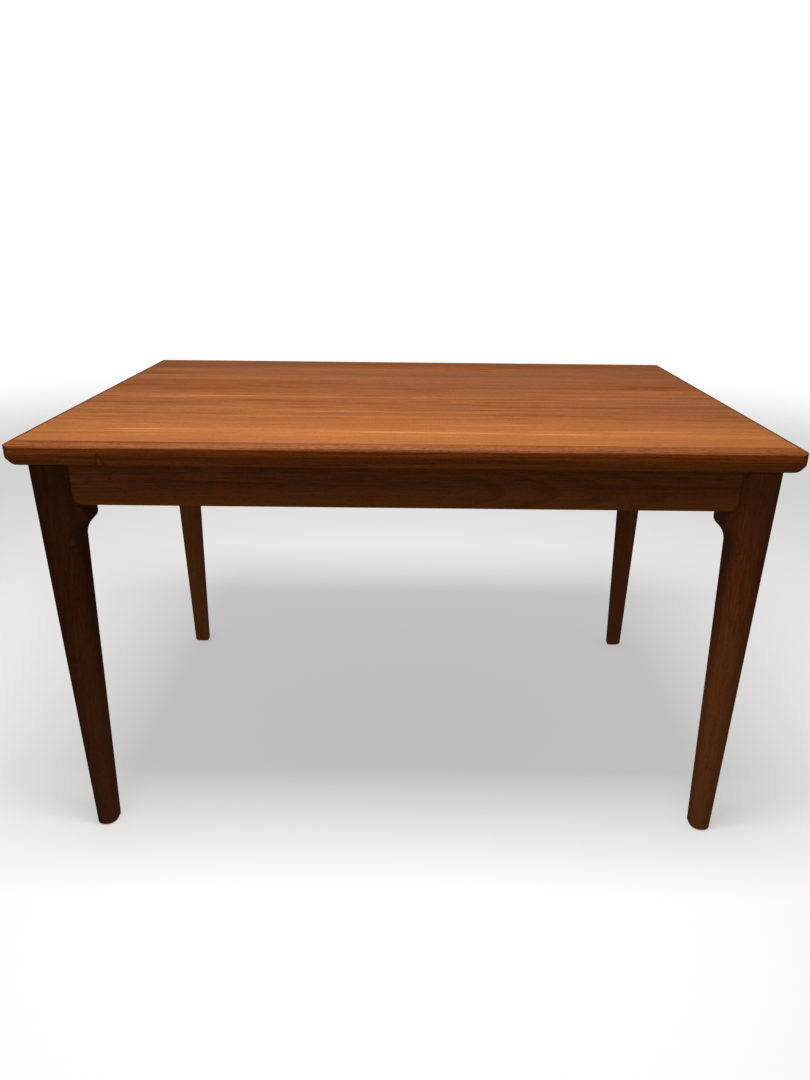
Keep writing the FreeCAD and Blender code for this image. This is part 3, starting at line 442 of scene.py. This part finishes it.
def dress_base():
    for name in LEGS:
        assign(name, leg_material(name))
    for name, grain, shift, arch in (
        ("front_rail", "X", (0.00, 0.420, -0.640), RAIL_ARCH),
        ("back_rail", "X", (0.60, -0.330, -0.620), None),
        ("left_rail", "Y", (0.20, 0.600, -0.650), None),
        ("right_rail", "Y", (0.70, -0.540, -0.630), None),
    ):
        assign(name, rail_material(name, grain, shift, arch))
    for name, grain, shift, tones, finish in (
        ("centre_board", "Y", (0.3, 0.05, -0.68), BOARD, DULL),
        ("centre_bearer", "Y", (0.1, 0.03, -0.64), BEECH, RAW),
        ("rail_dowels", "X", (0.1, 0.03, -0.64), BEECH, RAW),
    ):
        assign(name, timber(name, grain, shift, tones, finish))
    for end in ("front", "back"):
        for side in ("left", "right"):
            block = f"corner_block_{end}_{side}"
            assign(block, timber(block, "X", (0.2, 0.1, -0.62), BEECH))
            assign(f"foot_glide_{end}_{side}", glide_material())
    assign("centre_felt", felt_material())
    for screws in ("centre_board_screws", "corner_block_screws"):
        assign(screws, steel_material())


# ---------------------------------------------------------------------------
# The leaves
# ---------------------------------------------------------------------------


def dress_leaf(side, shift):
    """The leaf's wood; shift moves its grain along, so that the two leaves differ."""
    body = "leaf_" + side
    sign = -1 if side == "left" else 1
    name = body + "_panel"
    assign(name, timber(name, "X", (shift, 0.03, -0.66), LEAF, SATIN, VENEER_RINGS, 0.18))
    for name, y in ((body + "_end_lipping", -0.57), (body + "_inner_lipping", -0.09)):
        assign(name, lipping_material(name, "Y", (shift, y * sign, -0.68)))
    for end, y in (("front", 0.40), ("back", -0.36)):
        name = f"{body}_side_lipping_{end}"
        assign(name, lipping_material(name, "X", (shift, y, -0.68)))
        name = f"{body}_runner_{end}"
        assign(name, timber(name, "X", (shift, y / 2, -0.66), BEECH))
    name = body + "_stop_pegs"
    assign(name, timber(name, "Z", (shift, 0.03, 0.3), BEECH))
    assign(body + "_screws", steel_material())


# ---------------------------------------------------------------------------
# Fittings
# ---------------------------------------------------------------------------


def steel_material():
    graph = Graph("steel")
    point = graph.place()
    scratched = graph.noise(point, (900.0, 900.0, 220.0), detail=3.0)
    stained = graph.remap(graph.noise(point, (240.0, 240.0, 240.0), detail=2.0), 0.45, 0.7)
    colour = graph.mix(stained, (0.55, 0.54, 0.50), (0.33, 0.29, 0.22))
    rough = graph.remap(scratched, 0.3, 0.7, 0.28, 0.5)
    return graph.surface(Base_Color=colour, Metallic=1.0, Roughness=rough,
                         Normal=graph.bump(scratched, 0.2, 0.0001))


def felt_material():
    graph = Graph("felt")
    point = graph.place()
    fluff = graph.noise(point, (700.0, 700.0, 700.0), detail=4.0, roughness=0.7)
    colour = graph.mix(graph.remap(fluff, 0.35, 0.65), (0.030, 0.055, 0.028), (0.070, 0.110, 0.060))
    return graph.surface(Base_Color=colour, Roughness=0.95, Specular_IOR_Level=0.1, Sheen_Weight=0.35,
                         Normal=graph.bump(fluff, 0.6, 0.0006))


def glide_material():
    graph = Graph("glide")
    point = graph.place()
    scuffs = graph.noise(point, (260.0, 260.0, 90.0), detail=4.0, roughness=0.65)
    colour = graph.mix(graph.remap(scuffs, 0.4, 0.65), (0.030, 0.024, 0.020), (0.075, 0.062, 0.052))
    return graph.surface(Base_Color=colour, Roughness=graph.remap(scuffs, 0.3, 0.7, 0.35, 0.65),
                         Normal=graph.bump(scuffs, 0.3, 0.0002))


# ---------------------------------------------------------------------------
# Studio
# ---------------------------------------------------------------------------

CAMERA_PLACE = Vector((0.0135, -1.5725, 1.0297))
CAMERA_YAW, CAMERA_PITCH, CAMERA_ROLL = (math.radians(a) for a in (-0.078, 21.807, 0.619))
CAMERA_LENS = 26.98
CAMERA_SHIFT = (-0.0092, 0.0106)
CAMERA_SENSOR = 36.0

# The floor lets go of its own colour between these distances from the middle.
FLOOR_HALF = 40.0
FLOOR_FADE = (1.6, 6.0)
FLOOR_COLOUR = (0.62, 0.62, 0.61)
FLOOR_GLOW = 0.42

# Light of the surround: as a background, on the object, and how much less in reflections.
WORLD_SEEN = 1.0
WORLD_LIGHT = 0.24
WORLD_SHINE_LESS = 0.21

# The lamp above the top.
KEY_PLACE = (-0.05, -0.48, 2.15)
KEY_AIM = (-0.05, -0.20, 0.73)
KEY_SIZE = (1.3, 0.7)
KEY_POWER = 41.0
KEY_COLOUR = (1.0, 0.97, 0.92)


def make_camera():
    right = Vector((math.cos(CAMERA_YAW), math.sin(CAMERA_YAW), 0))
    ahead = Vector((-math.sin(CAMERA_YAW), math.cos(CAMERA_YAW), 0))
    up = Vector((0, 0, 1))
    sight = ahead * math.cos(CAMERA_PITCH) - up * math.sin(CAMERA_PITCH)
    above = up * math.cos(CAMERA_PITCH) + ahead * math.sin(CAMERA_PITCH)
    across = right * math.cos(CAMERA_ROLL) + above * math.sin(CAMERA_ROLL)
    above = above * math.cos(CAMERA_ROLL) - right * math.sin(CAMERA_ROLL)
    data = bpy.data.cameras.new("camera")
    data.lens = CAMERA_LENS
    data.sensor_width = CAMERA_SENSOR
    data.shift_x, data.shift_y = CAMERA_SHIFT
    camera = bpy.data.objects.new("camera", data)
    turn = Matrix((across, above, -sight)).transposed().to_4x4()
    camera.matrix_world = Matrix.Translation(CAMERA_PLACE) @ turn
    bpy.context.scene.collection.objects.link(camera)
    bpy.context.scene.camera = camera


def area_light(name, place, aim, size, power, colour):
    data = bpy.data.lights.new(name, "AREA")
    data.shape = "RECTANGLE"
    data.size, data.size_y = size
    data.energy = power
    data.color = colour
    lamp = bpy.data.objects.new(name, data)
    turn = (Vector(aim) - Vector(place)).to_track_quat("-Z", "Y")
    lamp.matrix_world = Matrix.Translation(place) @ turn.to_matrix().to_4x4()
    bpy.context.scene.collection.objects.link(lamp)


def make_floor():
    """A pale sheet that fades into the white surround away from the table."""
    mesh = bpy.data.meshes.new("floor")
    corners = [(x * FLOOR_HALF, y * FLOOR_HALF, 0) for x, y in ((-1, -1), (1, -1), (1, 1), (-1, 1))]
    mesh.from_pydata(corners, [], [(0, 1, 2, 3)])
    floor = bpy.data.objects.new("floor", mesh)
    bpy.context.scene.collection.objects.link(floor)
    graph = Graph("floor")
    far = graph.vector("LENGTH", graph.place())
    near = graph.remap(far, *FLOOR_FADE, 1.0, 0.0)
    strength = graph.remap(near, 0, 1, 1.0, FLOOR_GLOW)
    lit = graph.add("ShaderNodeBsdfDiffuse", {"Color": FLOOR_COLOUR})
    glow = graph.add("ShaderNodeEmission", {"Color": (1, 1, 1), "Strength": strength})
    dim = graph.add("ShaderNodeMixShader", {0: near})
    black = graph.add("ShaderNodeBsdfDiffuse", {"Color": (0, 0, 0)})
    graph.tree.links.new(black.outputs[0], dim.inputs[1])
    graph.tree.links.new(lit.outputs[0], dim.inputs[2])
    both = graph.add("ShaderNodeAddShader")
    graph.tree.links.new(dim.outputs[0], both.inputs[0])
    graph.tree.links.new(glow.outputs[0], both.inputs[1])
    graph.tree.links.new(both.outputs[0], graph.output.inputs[0])
    mesh.materials.append(graph.material)
    floor.visible_diffuse = False
    floor.visible_glossy = False


def make_surround():
    """White behind the object, a dimmer, even light on it, and less again for its reflections."""
    world = bpy.data.worlds.new("surround")
    bpy.context.scene.world = world
    world.use_nodes = True
    tree = world.node_tree
    tree.nodes.clear()
    path = tree.nodes.new("ShaderNodeLightPath")
    strength = tree.nodes.new("ShaderNodeMapRange")
    strength.inputs["To Min"].default_value = WORLD_LIGHT
    strength.inputs["To Max"].default_value = WORLD_SEEN
    back = tree.nodes.new("ShaderNodeBackground")
    back.inputs["Color"].default_value = (1.0, 1.0, 1.0, 1.0)
    out = tree.nodes.new("ShaderNodeOutputWorld")
    shine = tree.nodes.new("ShaderNodeMath")
    shine.operation = "MULTIPLY_ADD"
    shine.inputs[1].default_value = -WORLD_SHINE_LESS
    tree.links.new(path.outputs["Is Camera Ray"], strength.inputs["Value"])
    tree.links.new(path.outputs["Is Glossy Ray"], shine.inputs[0])
    tree.links.new(strength.outputs[0], shine.inputs[2])
    tree.links.new(shine.outputs[0], back.inputs["Strength"])
    tree.links.new(back.outputs[0], out.inputs[0])


def make_studio():
    make_camera()
    make_floor()
    make_surround()
    area_light("key", KEY_PLACE, KEY_AIM, KEY_SIZE, KEY_POWER, KEY_COLOUR)
    bpy.context.scene.view_settings.view_transform = "Standard"


# ---------------------------------------------------------------------------

for node in NODES.values():
    node.data.shade_smooth()
dress_top()
dress_base()
dress_leaf("left", 0.40)
dress_leaf("right", 1.10)
make_studio()
